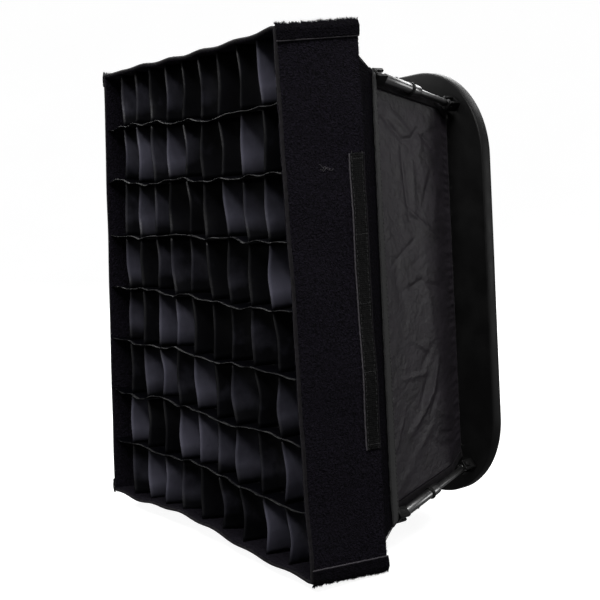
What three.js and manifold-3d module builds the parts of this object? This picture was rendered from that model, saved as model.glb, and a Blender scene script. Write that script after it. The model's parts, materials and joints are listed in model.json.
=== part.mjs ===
// A collapsible strip softbox with an egg-crate grid, in millimetres.
// +Z is up, the lit front faces -Y, and the origin is the middle of the lamp seat on the rear plate.
import * as THREE from "three";
import { mergeVertices } from "three/addons/utils/BufferGeometryUtils.js";
import Module from "manifold-3d";

const wasm = await Module();
wasm.setup();

// Driving dimensions. A depth is measured back from the front plane.
const FRONT = { w: 320, h: 400 };
const DEPTH = 212;
const GAP = 0.3; // clearance between pieces that touch
const PAST = 1; // how far a cutter runs past the face it cuts
const LAMP = { w: 198, h: 278 };

const PLATE = { w: 296, h: 372, t: 10, corner: 76, bevel: 1.2 };
const SEAT = { rim: 10, margin: 16, corner: 20, recess: 6 };
const GASKET = { t: 2.7, corner: 3, innerCorner: 1, fromRear: 0.5, length: 9 };

const SKIRT = { depth: 70, t: 2.4 };
const TAPE = { length: 216, width: 13, t: 1.2, inset: 1 };
const LIP = { w: 313, h: 392, depth: 62 };
const HEM = { w: 278, h: 350, depth: 101, t: 4 };
const PANEL = { t: 1.5, frontW: 262, frontH: 334, rearW: 224, rearH: 296 };
const DIFFUSER = { depth: 59.5, t: 1.5, margin: 3, corner: 6 };
const BAFFLE = { depth: 135, t: 1.2, w: 240, h: 312, corner: 8 };
const GRID = { rows: 8, columns: 10, depth: 43, inset: 1.5, t: 0.8 };

const STRUT = {
  front: { x: 137, z: 173, depth: 108 },
  rear: { x: 119, z: 155, depth: 194 },
  rodR: 2,
  rodLength: 48,
  tubeR: 3.6,
  boreR: 3.05,
  tubeLength: 40,
  neck: 8,
  stop: 0.5,
};
const COLLAR = {
  start: 37.5,
  length: 11.5,
  r: 4.9,
  boreR: 3.9,
  step: 2.5,
  ringR: 5.7,
  ringLength: 2.2,
  chamfer: { r: 0.8, length: 1.2 },
};
const CLEVIS = { pinR: 1.2, holeR: 1.5, eyeHalf: 2, eyeR: 3.4, cheek: 2.7, halfWidth: 4.5, base: 2.4 };
const PIN_HEAD = { r: 2.3, t: 1.2 };
const CLIP = { x: 109, length: 30, width: 9, end: 4.4, t: 3, pinR: 2, pinDepth: 3.4 };
const SEGMENTS = 14; // sides of a round piece
const LARGE_CORNER = 25; // a corner radius above this gets the finer steps
const CORNER_STEPS = { large: 12, small: 4 }; // steps in a quarter turn

const CORNERS = [
  { name: "top_right", sx: 1, sz: 1 },
  { name: "top_left", sx: -1, sz: 1 },
  { name: "bottom_left", sx: -1, sz: -1 },
  { name: "bottom_right", sx: 1, sz: -1 },
];
const SIDES = ["top", "bottom", "left", "right"];

const COLOURS = {
  plate: { color: 0x232325, roughness: 0.7, metalness: 0 },
  rubber: { color: 0x1a1a1b, roughness: 0.9, metalness: 0 },
  steel: { color: 0x3c3d40, roughness: 0.3, metalness: 0.9 },
  nylon: { color: 0x1d1b1e, roughness: 0.8, metalness: 0 },
  loop: { color: 0x141217, roughness: 1, metalness: 0 },
  hook: { color: 0x202023, roughness: 0.9, metalness: 0 },
  white: { color: 0xe6e5e0, roughness: 0.9, metalness: 0 },
  strip: { color: 0x1b1c22, roughness: 0.6, metalness: 0 },
};

const depthY = (depth) => depth - DEPTH;

// Booleans -------------------------------------------------------------------

function solidOf(geometry) {
  const plain = geometry.clone();
  plain.deleteAttribute("normal");
  plain.deleteAttribute("uv");
  const merged = mergeVertices(plain, 1e-4);
  return new wasm.Manifold(
    new wasm.Mesh({
      numProp: 3,
      vertProperties: merged.attributes.position.array,
      triVerts: new Uint32Array(merged.index.array),
    }),
  );
}

function geometryOf(solid) {
  const mesh = solid.getMesh();
  const geometry = new THREE.BufferGeometry();
  geometry.setAttribute("position", new THREE.BufferAttribute(mesh.vertProperties, 3));
  geometry.setIndex(new THREE.BufferAttribute(mesh.triVerts, 1));
  return geometry;
}

const join = (first, ...rest) =>
  geometryOf(rest.reduce((solid, next) => solid.add(solidOf(next)), solidOf(first)));
const cut = (first, ...rest) =>
  geometryOf(rest.reduce((solid, next) => solid.subtract(solidOf(next)), solidOf(first)));

// Basic shapes ---------------------------------------------------------------

// A block between two corners given as [low, high] on each axis.
function block([x0, x1], [y0, y1], [z0, z1]) {
  const geometry = new THREE.BoxGeometry(x1 - x0, y1 - y0, z1 - z0);
  return geometry.translate((x0 + x1) / 2, (y0 + y1) / 2, (z0 + z1) / 2);
}

// A round bar along Z from z0 to z1.
function barZ(r, z0, z1) {
  const geometry = new THREE.CylinderGeometry(r, r, z1 - z0, SEGMENTS);
  return geometry.rotateX(Math.PI / 2).translate(0, 0, (z0 + z1) / 2);
}

// A round bar along -Y, from start to end measured from the origin.
function barBack(r, start, end) {
  const geometry = new THREE.CylinderGeometry(r, r, end - start, SEGMENTS);
  return geometry.translate(0, -(start + end) / 2, 0);
}

// A turned piece about Y whose closed profile is a list of [radius, y].
function turned(profile) {
  const points = profile.map(([r, y]) => new THREE.Vector2(r, y));
  return new THREE.LatheGeometry([...points, points[0]], SEGMENTS);
}

function roundedOutline(w, h, r) {
  const shape = new THREE.Shape();
  const [a, b] = [w / 2, h / 2];
  shape.moveTo(-a + r, -b);
  shape.lineTo(a - r, -b);
  shape.absarc(a - r, -b + r, r, -Math.PI / 2, 0);
  shape.lineTo(a, b - r);
  shape.absarc(a - r, b - r, r, 0, Math.PI / 2);
  shape.lineTo(-a + r, b);
  shape.absarc(-a + r, b - r, r, Math.PI / 2, Math.PI);
  shape.lineTo(-a, -b + r);
  shape.absarc(-a + r, -b + r, r, Math.PI, Math.PI * 1.5);
  return shape;
}

// A rounded rectangle in the XZ plane, from yBack forward (towards -Y) by thickness t.
function roundedSlab(w, h, r, yBack, t, bevel = 0) {
  const geometry = new THREE.ExtrudeGeometry(roundedOutline(w - 2 * bevel, h - 2 * bevel, r - bevel), {
    depth: t - 2 * bevel,
    curveSegments: r > LARGE_CORNER ? CORNER_STEPS.large : CORNER_STEPS.small,
    bevelEnabled: bevel > 0,
    bevelThickness: bevel,
    bevelSize: bevel,
    bevelSegments: 2,
  });
  return geometry.rotateX(Math.PI / 2).translate(0, yBack - bevel, 0);
}

// One side wall of a four-sided sleeve that runs from a rectangle at one depth to a rectangle at
// another, with mitred corners. Its outer face lies on the sleeve and its thickness goes inwards.
function sleeveSide(side, near, far, t) {
  const geometry = new THREE.BoxGeometry(1, 1, 1);
  const position = geometry.attributes.position;
  const upright = side === "left" || side === "right";
  const sign = side === "top" || side === "right" ? 1 : -1;
  for (let i = 0; i < position.count; i++) {
    const end = position.getY(i) < 0 ? near : far;
    const across = upright ? position.getX(i) : position.getZ(i);
    const along = upright ? position.getZ(i) : position.getX(i);
    const inset = across * sign > 0 ? 0 : t;
    const halfAcross = (upright ? end.w : end.h) / 2 - inset;
    const halfAlong = (upright ? end.h : end.w) / 2 - inset - GAP;
    const [a, b] = [sign * halfAcross, Math.sign(along) * halfAlong];
    position.setXYZ(i, upright ? a : b, depthY(end.depth), upright ? b : a);
  }
  return geometry;
}

// Scene helpers --------------------------------------------------------------

const softbox = new THREE.Group();

function addMesh(parent, name, geometry, colour) {
  const mesh = new THREE.Mesh(geometry, new THREE.MeshStandardMaterial(COLOURS[colour]));
  mesh.name = name;
  parent.add(mesh);
  return mesh;
}

// A group at a strut pivot whose X points outwards along the diagonal and whose Z is the pivot axis.
function cornerGroup({ sx, sz }, pivot) {
  const group = new THREE.Group();
  group.position.set(sx * pivot.x, depthY(pivot.depth), sz * pivot.z);
  group.rotation.y = Math.atan2(-sz, sx);
  softbox.add(group);
  return group;
}

// How a strut leans outwards from the rear pivot to the front one.
const strutRise = Math.hypot(STRUT.front.x - STRUT.rear.x, STRUT.front.z - STRUT.rear.z);
const strutRun = STRUT.rear.depth - STRUT.front.depth;
const strutLean = Math.atan2(strutRise, strutRun);

// Rear plate -----------------------------------------------------------------

const OPENING = { w: LAMP.w + 2 * (GASKET.t + 2 * GAP), h: LAMP.h + 2 * (GASKET.t + 2 * GAP) };

function rearPlate() {
  const { w, h, t, corner, bevel } = PLATE;
  const { rim, margin } = SEAT;
  const body = roundedSlab(w, h, corner, 0, t, bevel);
  const opening = roundedSlab(OPENING.w, OPENING.h, GASKET.corner, PAST, t + 2 * PAST);
  const pocket = roundedSlab(w - 2 * rim, h - 2 * rim, corner - rim, PAST, SEAT.recess + PAST);
  const seat = roundedSlab(OPENING.w + 2 * margin, OPENING.h + 2 * margin, SEAT.corner, 2 * PAST, t);
  const holes = [-1, 1].map((sx) =>
    barBack(CLIP.pinR + GAP, -PAST, CLIP.pinDepth + GAP).translate(sx * CLIP.x, 0, 0),
  );
  return cut(body, cut(pocket, seat), opening, ...holes);
}

function lampGasket() {
  const outer = { w: OPENING.w - 2 * GAP, h: OPENING.h - 2 * GAP };
  const inner = { w: outer.w - 2 * GASKET.t, h: outer.h - 2 * GASKET.t };
  return cut(
    roundedSlab(outer.w, outer.h, GASKET.corner - GAP, -GASKET.fromRear, GASKET.length),
    roundedSlab(inner.w, inner.h, GASKET.innerCorner, PAST, GASKET.length + 3 * PAST),
  );
}

function lampClip() {
  const { length, width, end, t, pinR, pinDepth } = CLIP;
  const bar = roundedSlab(width, length, end, GAP + t, t);
  return join(bar, barBack(pinR, -GAP - t / 2, pinDepth));
}

function addRearPlate() {
  addMesh(softbox, "rear_plate", rearPlate(), "plate");
  addMesh(softbox, "lamp_gasket", lampGasket(), "rubber");
  for (const [name, sx] of [["left", -1], ["right", 1]]) {
    addMesh(softbox, `lamp_clip_${name}`, lampClip(), "plate").position.x = sx * CLIP.x;
  }
}

// Struts ---------------------------------------------------------------------

// Two cheeks on a base, with the pivot at the origin. toBase is the distance along Y to the face
// that the base stands on, and its sign says on which side that face lies.
function clevis(toBase) {
  const { eyeHalf, cheek, halfWidth, base, eyeR } = CLEVIS;
  const way = Math.sign(toBase);
  const inner = eyeHalf + GAP;
  const outer = inner + cheek;
  const span = (a, b) => [Math.min(a, b), Math.max(a, b)];
  const foot = span(toBase - way * GAP, toBase - way * (GAP + base));
  const wall = span(toBase - way * (GAP + base / 2), -way * eyeR);
  const width = [-halfWidth, halfWidth];
  return join(
    block(width, foot, [-outer, outer]),
    block(width, wall, [inner, outer]),
    block(width, wall, [-outer, -inner]),
  );
}

const clevisHalf = CLEVIS.eyeHalf + GAP + CLEVIS.cheek;

function rearBracket() {
  const toPlate = DEPTH - PLATE.t - STRUT.rear.depth;
  return cut(clevis(toPlate), barZ(CLEVIS.holeR, -clevisHalf - PAST, clevisHalf + PAST));
}

function rearPin() {
  const end = clevisHalf + GAP;
  return join(
    barZ(CLEVIS.pinR, -end, end + PIN_HEAD.t / 2),
    barZ(PIN_HEAD.r, end, end + PIN_HEAD.t),
  );
}

function frontCorner() {
  const toHem = HEM.depth - STRUT.front.depth;
  const pinHalf = clevisHalf - CLEVIS.cheek / 2;
  return join(clevis(toHem), barZ(CLEVIS.pinR, -pinHalf, pinHalf));
}

// A flat eye with a neck towards -Y, drilled for the pin.
function eye(neckHalf) {
  const { eyeHalf, eyeR, holeR } = CLEVIS;
  const blank = join(
    barZ(eyeR, -eyeHalf, eyeHalf),
    block([-neckHalf, neckHalf], [-STRUT.neck, 0], [-eyeHalf, eyeHalf]),
  );
  return cut(blank, barZ(holeR, -eyeHalf - PAST, eyeHalf + PAST));
}

function strutRod() {
  const { rodR, rodLength, neck, stop } = STRUT;
  return join(eye(rodR), barBack(rodR, neck - stop, rodLength));
}

function strutTube() {
  const { tubeR, boreR, tubeLength, neck, stop } = STRUT;
  const shell = join(eye(tubeR - GAP), barBack(tubeR, neck - stop, tubeLength));
  return cut(shell, barBack(boreR, neck + stop, tubeLength + PAST));
}

function lockCollar() {
  const { start, length, r, boreR, step, ringR, ringLength, chamfer } = COLLAR;
  const end = start + length;
  return turned([
    [boreR, -start],
    [boreR, -start - step],
    [STRUT.boreR, -start - step],
    [STRUT.boreR, -end],
    [r - chamfer.r, -end],
    [r, -end + chamfer.length],
    [r, -start - ringLength],
    [ringR, -start - ringLength],
    [ringR, -start],
  ]);
}

function addStruts() {
  for (const corner of CORNERS) {
    const rear = cornerGroup(corner, STRUT.rear);
    addMesh(rear, `rear_bracket_${corner.name}`, rearBracket(), "plate");
    addMesh(rear, `rear_pin_${corner.name}`, rearPin(), "steel");
    addMesh(rear, `strut_rod_${corner.name}`, strutRod(), "steel").rotation.z = strutLean;

    const front = cornerGroup(corner, STRUT.front);
    addMesh(front, `front_corner_${corner.name}`, frontCorner(), "plate");
    const tubeTurn = Math.PI + strutLean;
    addMesh(front, `strut_tube_${corner.name}`, strutTube(), "steel").rotation.z = tubeTurn;
    addMesh(front, `lock_collar_${corner.name}`, lockCollar(), "plate").rotation.z = tubeTurn;
  }
}

// Fabric body ----------------------------------------------------------------

function addFabricBody() {
  const panelFront = { w: PANEL.frontW, h: PANEL.frontH, depth: HEM.depth + 2 * GAP };
  const panelRear = { w: PANEL.rearW, h: PANEL.rearH, depth: DEPTH - PLATE.t - GAP };
  for (const side of SIDES) {
    addMesh(softbox, `side_panel_${side}`, sleeveSide(side, panelFront, panelRear, PANEL.t), "nylon");
    addMesh(softbox, `front_rail_${side}`, sleeveSide(side, LIP, HEM, HEM.t), "nylon");
  }
}

// Diffusers ------------------------------------------------------------------

function addDiffusers() {
  const cloth = ({ w, h, corner, depth, t }) => roundedSlab(w, h, corner, depthY(depth) + t, t);
  const { margin } = DIFFUSER;
  const front = cloth({ ...DIFFUSER, w: LIP.w - 2 * margin, h: LIP.h - 2 * margin });
  addMesh(softbox, "front_diffuser", front, "white");
  addMesh(softbox, "inner_baffle", cloth(BAFFLE), "white");
}

// Grid -----------------------------------------------------------------------

// A flat strip lying along X, from y 0 back to its depth, with a slot for each strip that crosses it.
// fromBack says which edge the slots open on.
function slottedStrip(length, crossings, fromBack) {
  const { depth, t } = GRID;
  const slotHalf = t / 2 + GAP;
  const bottom = depth / 2;
  const [edge, closed] = fromBack ? [depth, bottom - GAP] : [0, bottom + GAP];
  const shape = new THREE.Shape();
  shape.moveTo(-length / 2, depth - edge);
  shape.lineTo(-length / 2, edge);
  for (const x of crossings) {
    shape.lineTo(x - slotHalf, edge);
    shape.lineTo(x - slotHalf, closed);
    shape.lineTo(x + slotHalf, closed);
    shape.lineTo(x + slotHalf, edge);
  }
  shape.lineTo(length / 2, edge);
  shape.lineTo(length / 2, depth - edge);
  const geometry = new THREE.ExtrudeGeometry(shape, { depth: t, bevelEnabled: false });
  return geometry.translate(0, 0, -t / 2);
}

// The places that divide a length into equal cells.
function dividers(length, cells) {
  const pitch = length / cells;
  return Array.from({ length: cells - 1 }, (_, i) => (i + 1) * pitch - length / 2);
}

function addGridStrips() {
  const inner = { w: FRONT.w - 2 * SKIRT.t, h: FRONT.h - 2 * SKIRT.t };
  const columns = dividers(inner.w, GRID.columns);
  const rows = dividers(inner.h, GRID.rows);
  const y = depthY(GRID.inset);
  rows.forEach((z, i) => {
    const strip = slottedStrip(inner.w - 2 * GAP, columns, true);
    addMesh(softbox, `grid_row_${i + 1}`, strip, "strip").position.set(0, y, z);
  });
  columns.forEach((x, i) => {
    const strip = slottedStrip(inner.h - 2 * GAP, rows, false);
    const mesh = addMesh(softbox, `grid_column_${i + 1}`, strip, "strip");
    mesh.position.set(x, y, 0);
    mesh.rotation.y = -Math.PI / 2;
  });
}

function addSkirt() {
  const front = { ...FRONT, depth: 0 };
  const rear = { ...FRONT, depth: SKIRT.depth };
  for (const side of SIDES) {
    addMesh(softbox, `grid_skirt_${side}`, sleeveSide(side, front, rear, SKIRT.t), "loop");
  }
  const tapeY = [depthY(SKIRT.depth - TAPE.inset - TAPE.width), depthY(SKIRT.depth - TAPE.inset)];
  for (const [name, sx] of [["left", -1], ["right", 1]]) {
    const face = sx * (FRONT.w / 2 + GAP + TAPE.t / 2);
    const tape = block([-TAPE.t / 2, TAPE.t / 2], tapeY, [-TAPE.length / 2, TAPE.length / 2]);
    addMesh(softbox, `hook_tape_${name}`, tape, "hook").position.x = face;
  }
}

addRearPlate();
addStruts();
addFabricBody();
addDiffusers();
addGridStrips();
addSkirt();

export default softbox;
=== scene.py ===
"""Looks of a collapsible strip softbox with an egg-crate grid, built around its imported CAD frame."""

import json
import math
import random

import bpy
import numpy as np
from mathutils import Matrix, Vector


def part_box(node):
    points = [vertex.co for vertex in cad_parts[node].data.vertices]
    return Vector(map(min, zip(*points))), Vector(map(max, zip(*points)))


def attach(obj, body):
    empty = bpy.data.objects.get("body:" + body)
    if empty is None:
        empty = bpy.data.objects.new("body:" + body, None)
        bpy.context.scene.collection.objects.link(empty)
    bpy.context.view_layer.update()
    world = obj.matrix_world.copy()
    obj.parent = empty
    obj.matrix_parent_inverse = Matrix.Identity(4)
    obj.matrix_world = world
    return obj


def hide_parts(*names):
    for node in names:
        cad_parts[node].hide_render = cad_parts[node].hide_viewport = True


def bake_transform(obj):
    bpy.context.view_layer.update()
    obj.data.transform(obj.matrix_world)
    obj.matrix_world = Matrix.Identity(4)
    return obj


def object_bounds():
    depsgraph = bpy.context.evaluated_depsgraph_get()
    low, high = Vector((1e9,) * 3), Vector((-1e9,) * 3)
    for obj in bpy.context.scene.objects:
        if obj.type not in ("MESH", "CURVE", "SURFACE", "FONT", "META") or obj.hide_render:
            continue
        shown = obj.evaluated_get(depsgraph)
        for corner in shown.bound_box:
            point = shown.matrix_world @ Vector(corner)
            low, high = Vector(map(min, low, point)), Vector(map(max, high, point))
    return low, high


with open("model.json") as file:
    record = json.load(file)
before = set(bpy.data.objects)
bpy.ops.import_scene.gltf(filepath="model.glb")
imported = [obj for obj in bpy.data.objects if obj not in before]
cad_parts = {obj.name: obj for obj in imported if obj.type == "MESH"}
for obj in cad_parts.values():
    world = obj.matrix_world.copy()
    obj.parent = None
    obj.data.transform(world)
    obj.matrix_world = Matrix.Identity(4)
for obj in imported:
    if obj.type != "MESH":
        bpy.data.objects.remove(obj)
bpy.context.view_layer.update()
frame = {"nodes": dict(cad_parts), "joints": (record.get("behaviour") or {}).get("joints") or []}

MM = 0.001
WELT_WIDTH = 6.2 * MM
TURNOVER_HEIGHT = 10 * MM
TUCK = 4.5 * MM  # how far the body's rear end is drawn in
LIP_FLARE = 1.6 * MM  # how far the lip's front edge curls out, against the skirt
LIP_HOLLOW = 3.4 * MM
PILE_T = 3.1 * MM
TUBE_R, TUBE_END, TUBE_BORE = 3.9 * MM, 40 * MM, 3.55 * MM
ROD_R, ROD_END = 2.65 * MM, 48 * MM
FLUTE_DEPTH = 0.35 * MM
# The axis that each side faces (0 is X, 2 is Z) and which way.
SIDES = {"top": (2, 1), "bottom": (2, -1), "left": (0, -1), "right": (0, 1)}
CORNERS = {"top_right": (1, 1), "top_left": (-1, 1), "bottom_left": (-1, -1), "bottom_right": (1, -1)}
CLOTH_UV = "metres along the cloth"
NEAR = 0.1 * MM  # how near a vertex lies to a plane to count as on it

CAMERA = {
    "azimuth": 56.1,
    "elevation": 5.6,
    "roll": -3.5,
    "distance": 0.898,
    "aside": 6.4 * MM,
    "above": -6.6 * MM,
    "lens": 60,
}

AMBIENT = 0.14
FLOOR_GLOW = 0.92
FLOOR_TONE = 0.36
# Each soft light: azimuth, elevation, distance, its two sizes, and power.
LIGHTS = {
    "key": (74, 46, 1.6, (0.6, 0.4), 15),
    "front": (34, 44, 1.7, (0.4, 0.4), 20),
    "rear low": (134, 1, 1.6, (0.5, 0.5), 4),
    "rear high": (172, 40, 1.6, (0.6, 0.5), 6),
    "left fill": (265, 40, 2.2, (1.2, 1.2), 60),
    "back fill": (215, 30, 2.2, (1.2, 1.2), 24),
    "front fill": (-8, 4, 2.4, (0.8, 0.8), 16),
}


# The frame's own sizes ------------------------------------------------------------------------


def sleeve_end(family, end):
    """Half width, half height and y of a four-sided sleeve's outside, at its front (0) or rear (1)."""
    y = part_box(f"{family}_right")[end].y

    def reach(side, axis):
        spots = frame["nodes"][f"{family}_{side}"].data.vertices
        return max(abs(v.co[axis]) for v in spots if abs(v.co.y - y) < NEAR)

    return reach("right", 0), reach("top", 2), y


SKIRT_FRONT, SKIRT_REAR = sleeve_end("grid_skirt", 0), sleeve_end("grid_skirt", 1)
LIP, HEM = sleeve_end("front_rail", 0), sleeve_end("front_rail", 1)
PANEL_FRONT, PANEL_REAR = sleeve_end("side_panel", 0), sleeve_end("side_panel", 1)
JOINT_AT = {j["name"]: Vector(j["pos_m"]) for j in frame["joints"] if "pos_m" in j}


def middle(node_name, axis):
    """Where a node's middle is along an axis."""
    low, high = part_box(node_name)
    return (low[axis] + high[axis]) / 2


ROWS = sorted(n for n in frame["nodes"] if n.startswith("grid_row_"))
COLUMNS = sorted(n for n in frame["nodes"] if n.startswith("grid_column_"))
ROW_AT = [middle(n, 2) for n in ROWS]
COLUMN_AT = [middle(n, 0) for n in COLUMNS]
ROW_PITCH = abs(ROW_AT[1] - ROW_AT[0])
STRIP_FRONT, STRIP_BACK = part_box("grid_row_1")[0].y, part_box("grid_row_1")[1].y
STRIP_END = {"row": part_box("grid_row_1")[1].x, "column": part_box("grid_column_1")[1].z}
SLOT_HALF = 0.7 * MM
COLUMN_RECESS = 3.0 * MM  # how far behind the rows' front edges the columns' front edges lie
STRIP_T = 0.4 * MM
STRIP_STEP = 0.5  # how far apart the strips lie in their cloth coordinates


# Mesh helpers ---------------------------------------------------------------------------------


def new_object(name, verts, faces, uvs=None):
    """A mesh object from lists of points and faces, with one uv, in metres, for each point."""
    mesh = bpy.data.meshes.new(name)
    mesh.from_pydata([tuple(v) for v in verts], [], [tuple(f) for f in faces])
    if uvs is not None:
        layer = mesh.uv_layers.new(name=CLOTH_UV)
        corners = np.zeros(len(mesh.loops), np.int32)
        mesh.loops.foreach_get("vertex_index", corners)
        layer.data.foreach_set("uv", np.asarray(uvs, np.float32)[corners].ravel())
    mesh.polygons.foreach_set("use_smooth", [True] * len(mesh.polygons))
    made = bpy.data.objects.new(name, mesh)
    bpy.context.scene.collection.objects.link(made)
    return made


def grid_faces(rows, columns, flip=False, skip=None):
    """Quads over a grid of points, leaving out those whose (row, column) is in skip."""
    faces = []
    for i in range(rows - 1):
        for j in range(columns - 1):
            if skip and (i, j) in skip:
                continue
            a = i * columns + j
            quad = (a, a + 1, a + columns + 1, a + columns)
            faces.append(quad[::-1] if flip else quad)
    return faces


def sheet_object(name, points, uv, flip=False, skip=None):
    """A cloth surface over an array of points of shape (rows, columns, 3)."""
    rows, columns = points.shape[:2]
    faces = grid_faces(rows, columns, flip, skip)
    return new_object(name, points.reshape(-1, 3), faces, uv.reshape(-1, 2))


def applied(made):
    """The object with its modifiers applied to its mesh."""
    bpy.context.view_layer.update()
    shape = made.evaluated_get(bpy.context.evaluated_depsgraph_get())
    mesh = bpy.data.meshes.new_from_object(shape)
    made.modifiers.clear()
    made.data = mesh
    return made


def thicken(made, thickness, outside, inside=None):
    """Gives a sheet its thickness, inwards, and its materials."""
    made.data.materials.append(outside)
    made.data.materials.append(inside or outside)
    solid = made.modifiers.new("thickness", "SOLIDIFY")
    solid.thickness = thickness
    solid.offset = -1
    solid.material_offset = 1 if inside else 0
    return applied(made)


def joined(name, parts):
    """One object from several meshes, keeping each one's materials."""
    with bpy.context.temp_override(active_object=parts[0], selected_editable_objects=parts):
        bpy.ops.object.join()
    parts[0].name = name
    parts[0].data.name = name
    return parts[0]


def tube_faces(count, sides, ring=False):
    """Quads between count circles of points. A ring closes on itself, and others get flat ends."""
    faces = []
    for place in range(count if ring else count - 1):
        here, there = place * sides, (place + 1) % count * sides
        for k in range(sides):
            turn = (k + 1) % sides
            faces.append((here + k, here + turn, there + turn, there + k))
    if not ring:
        faces.append(tuple(range(sides))[::-1])
        faces.append(tuple(range((count - 1) * sides, count * sides)))
    return faces


def turned(name, profile, start, direction, sides=40, flutes=0, fluted=(), ring=False):
    """A turned piece: profile is a list of (distance along direction, radius). The places in fluted
    have grip flutes. A ring's profile closes on itself, and other profiles get flat ends."""
    axis = Vector(direction).normalized()
    across = axis.orthogonal().normalized()
    third = axis.cross(across)
    verts = []
    for place, (along, radius) in enumerate(profile):
        for k in range(sides):
            turn = 2 * math.pi * k / sides
            depth = FLUTE_DEPTH if place in fluted else 0.0
            r = radius - depth * (0.5 - 0.5 * math.cos(flutes * turn))
            out = across * math.cos(turn) + third * math.sin(turn)
            verts.append(Vector(start) + axis * along + out * r)
    return new_object(name, verts, tube_faces(len(profile), sides, ring))


def capsule_parts(start, end, up, radius, arch):
    """Points and faces of one stitch: a short thread that rises from the cloth and goes back in."""
    along = end - start
    side = along.normalized().cross(up).normalized()
    verts = []
    steps, ring = 4, 5
    for i in range(steps + 1):
        t = i / steps
        centre = start + along * t + up * (arch * math.sin(math.pi * t))
        thick = radius * (0.45 + 0.55 * math.sin(math.pi * t))
        for k in range(ring):
            turn = 2 * math.pi * k / ring
            verts.append(centre + side * (thick * math.cos(turn)) + up * (thick * math.sin(turn)))
    return verts, tube_faces(steps + 1, ring)


def stitching(name, path, up, material, pitch=3.2 * MM, radius=0.28 * MM):
    """A row of stitches along a path of points. up is the cloth's normal, for all or for each."""
    path = [Vector(p) for p in path]
    ups = [Vector(up)] * len(path) if isinstance(up, Vector) else [Vector(u) for u in up]
    verts, faces = [], []
    travelled, next_start = 0.0, 0.0
    for here, there, normal in zip(path, path[1:], ups):
        length = (there - here).length
        while next_start < travelled + length:
            a = here.lerp(there, (next_start - travelled) / length)
            b = a + (there - here).normalized() * (0.72 * pitch)
            made, quads = capsule_parts(a, b, normal, radius, 0.5 * radius)
            faces += [tuple(i + len(verts) for i in f) for f in quads]
            verts += made
            next_start += pitch
        travelled += length
    row = new_object(name, verts, faces)
    row.data.materials.append(material)
    return row


def bead(name, path, radius, material, ring=8):
    """A round cord of that radius along a path of points."""
    path = [Vector(p) for p in path]
    verts = []
    for i, here in enumerate(path):
        along = (path[min(i + 1, len(path) - 1)] - path[max(i - 1, 0)]).normalized()
        side = along.orthogonal() if i == 0 else (side - along * side.dot(along))
        side.normalize()
        up = along.cross(side)
        for k in range(ring):
            turn = 2 * math.pi * k / ring
            verts.append(here + (side * math.cos(turn) + up * math.sin(turn)) * radius)
    made = new_object(name, verts, tube_faces(len(path), ring))
    made.data.materials.append(material)
    return made


# Material helpers -----------------------------------------------------------------------------


def node(tree, kind, inputs=None, **settings):
    """One shader node, with its settings, and its inputs as values or as sockets to link."""
    made = tree.nodes.new("ShaderNode" + kind)
    for key, value in settings.items():
        setattr(made, key, value)
    for key, value in (inputs or {}).items():
        if isinstance(value, bpy.types.NodeSocket):
            tree.links.new(value, made.inputs[key])
        else:
            made.inputs[key].default_value = value
    return made


def noise(tree, where, size, detail=2.0, stretch=None):
    """Noise whose features are about size metres wide."""
    if stretch:
        where = node(tree, "Mapping", {"Vector": where, "Scale": stretch}).outputs[0]
    values = {"Vector": where, "Scale": 1 / size, "Detail": detail, "Roughness": 0.6}
    return node(tree, "TexNoise", values).outputs["Fac"]


def remap(tree, value, low, high, start=0.3, end=0.7):
    """Takes a value from the range start to end into low to high."""
    inputs = {"Value": value, "From Min": start, "From Max": end, "To Min": low, "To Max": high}
    return node(tree, "MapRange", inputs).outputs[0]


def math_node(tree, operation, a, b=0.0):
    """The outcome of one sum on values or sockets."""
    return node(tree, "Math", {0: a, 1: b}, operation=operation).outputs[0]


def ribs(tree, where, pitch, along="X"):
    """Rounded ribs at that pitch in metres."""
    values = {"Vector": where, "Scale": 2 * math.pi / (20 * pitch)}
    return node(tree, "TexWave", values, bands_direction=along, wave_profile="SIN").outputs["Fac"]


def weave(tree, where, pitch):
    """A plain weave, as the height of threads that pass over and under each other."""
    over = ribs(tree, where, pitch, "X")
    under = ribs(tree, where, pitch, "Y")
    return math_node(tree, "MULTIPLY", over, under)


def bump(tree, height, depth, strength=1.0, normal=None):
    """A normal from a height between 0 and 1 that stands for depth metres."""
    inputs = {"Height": height, "Distance": depth, "Strength": strength}
    if normal:
        inputs["Normal"] = normal
    return node(tree, "Bump", inputs).outputs[0]


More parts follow.
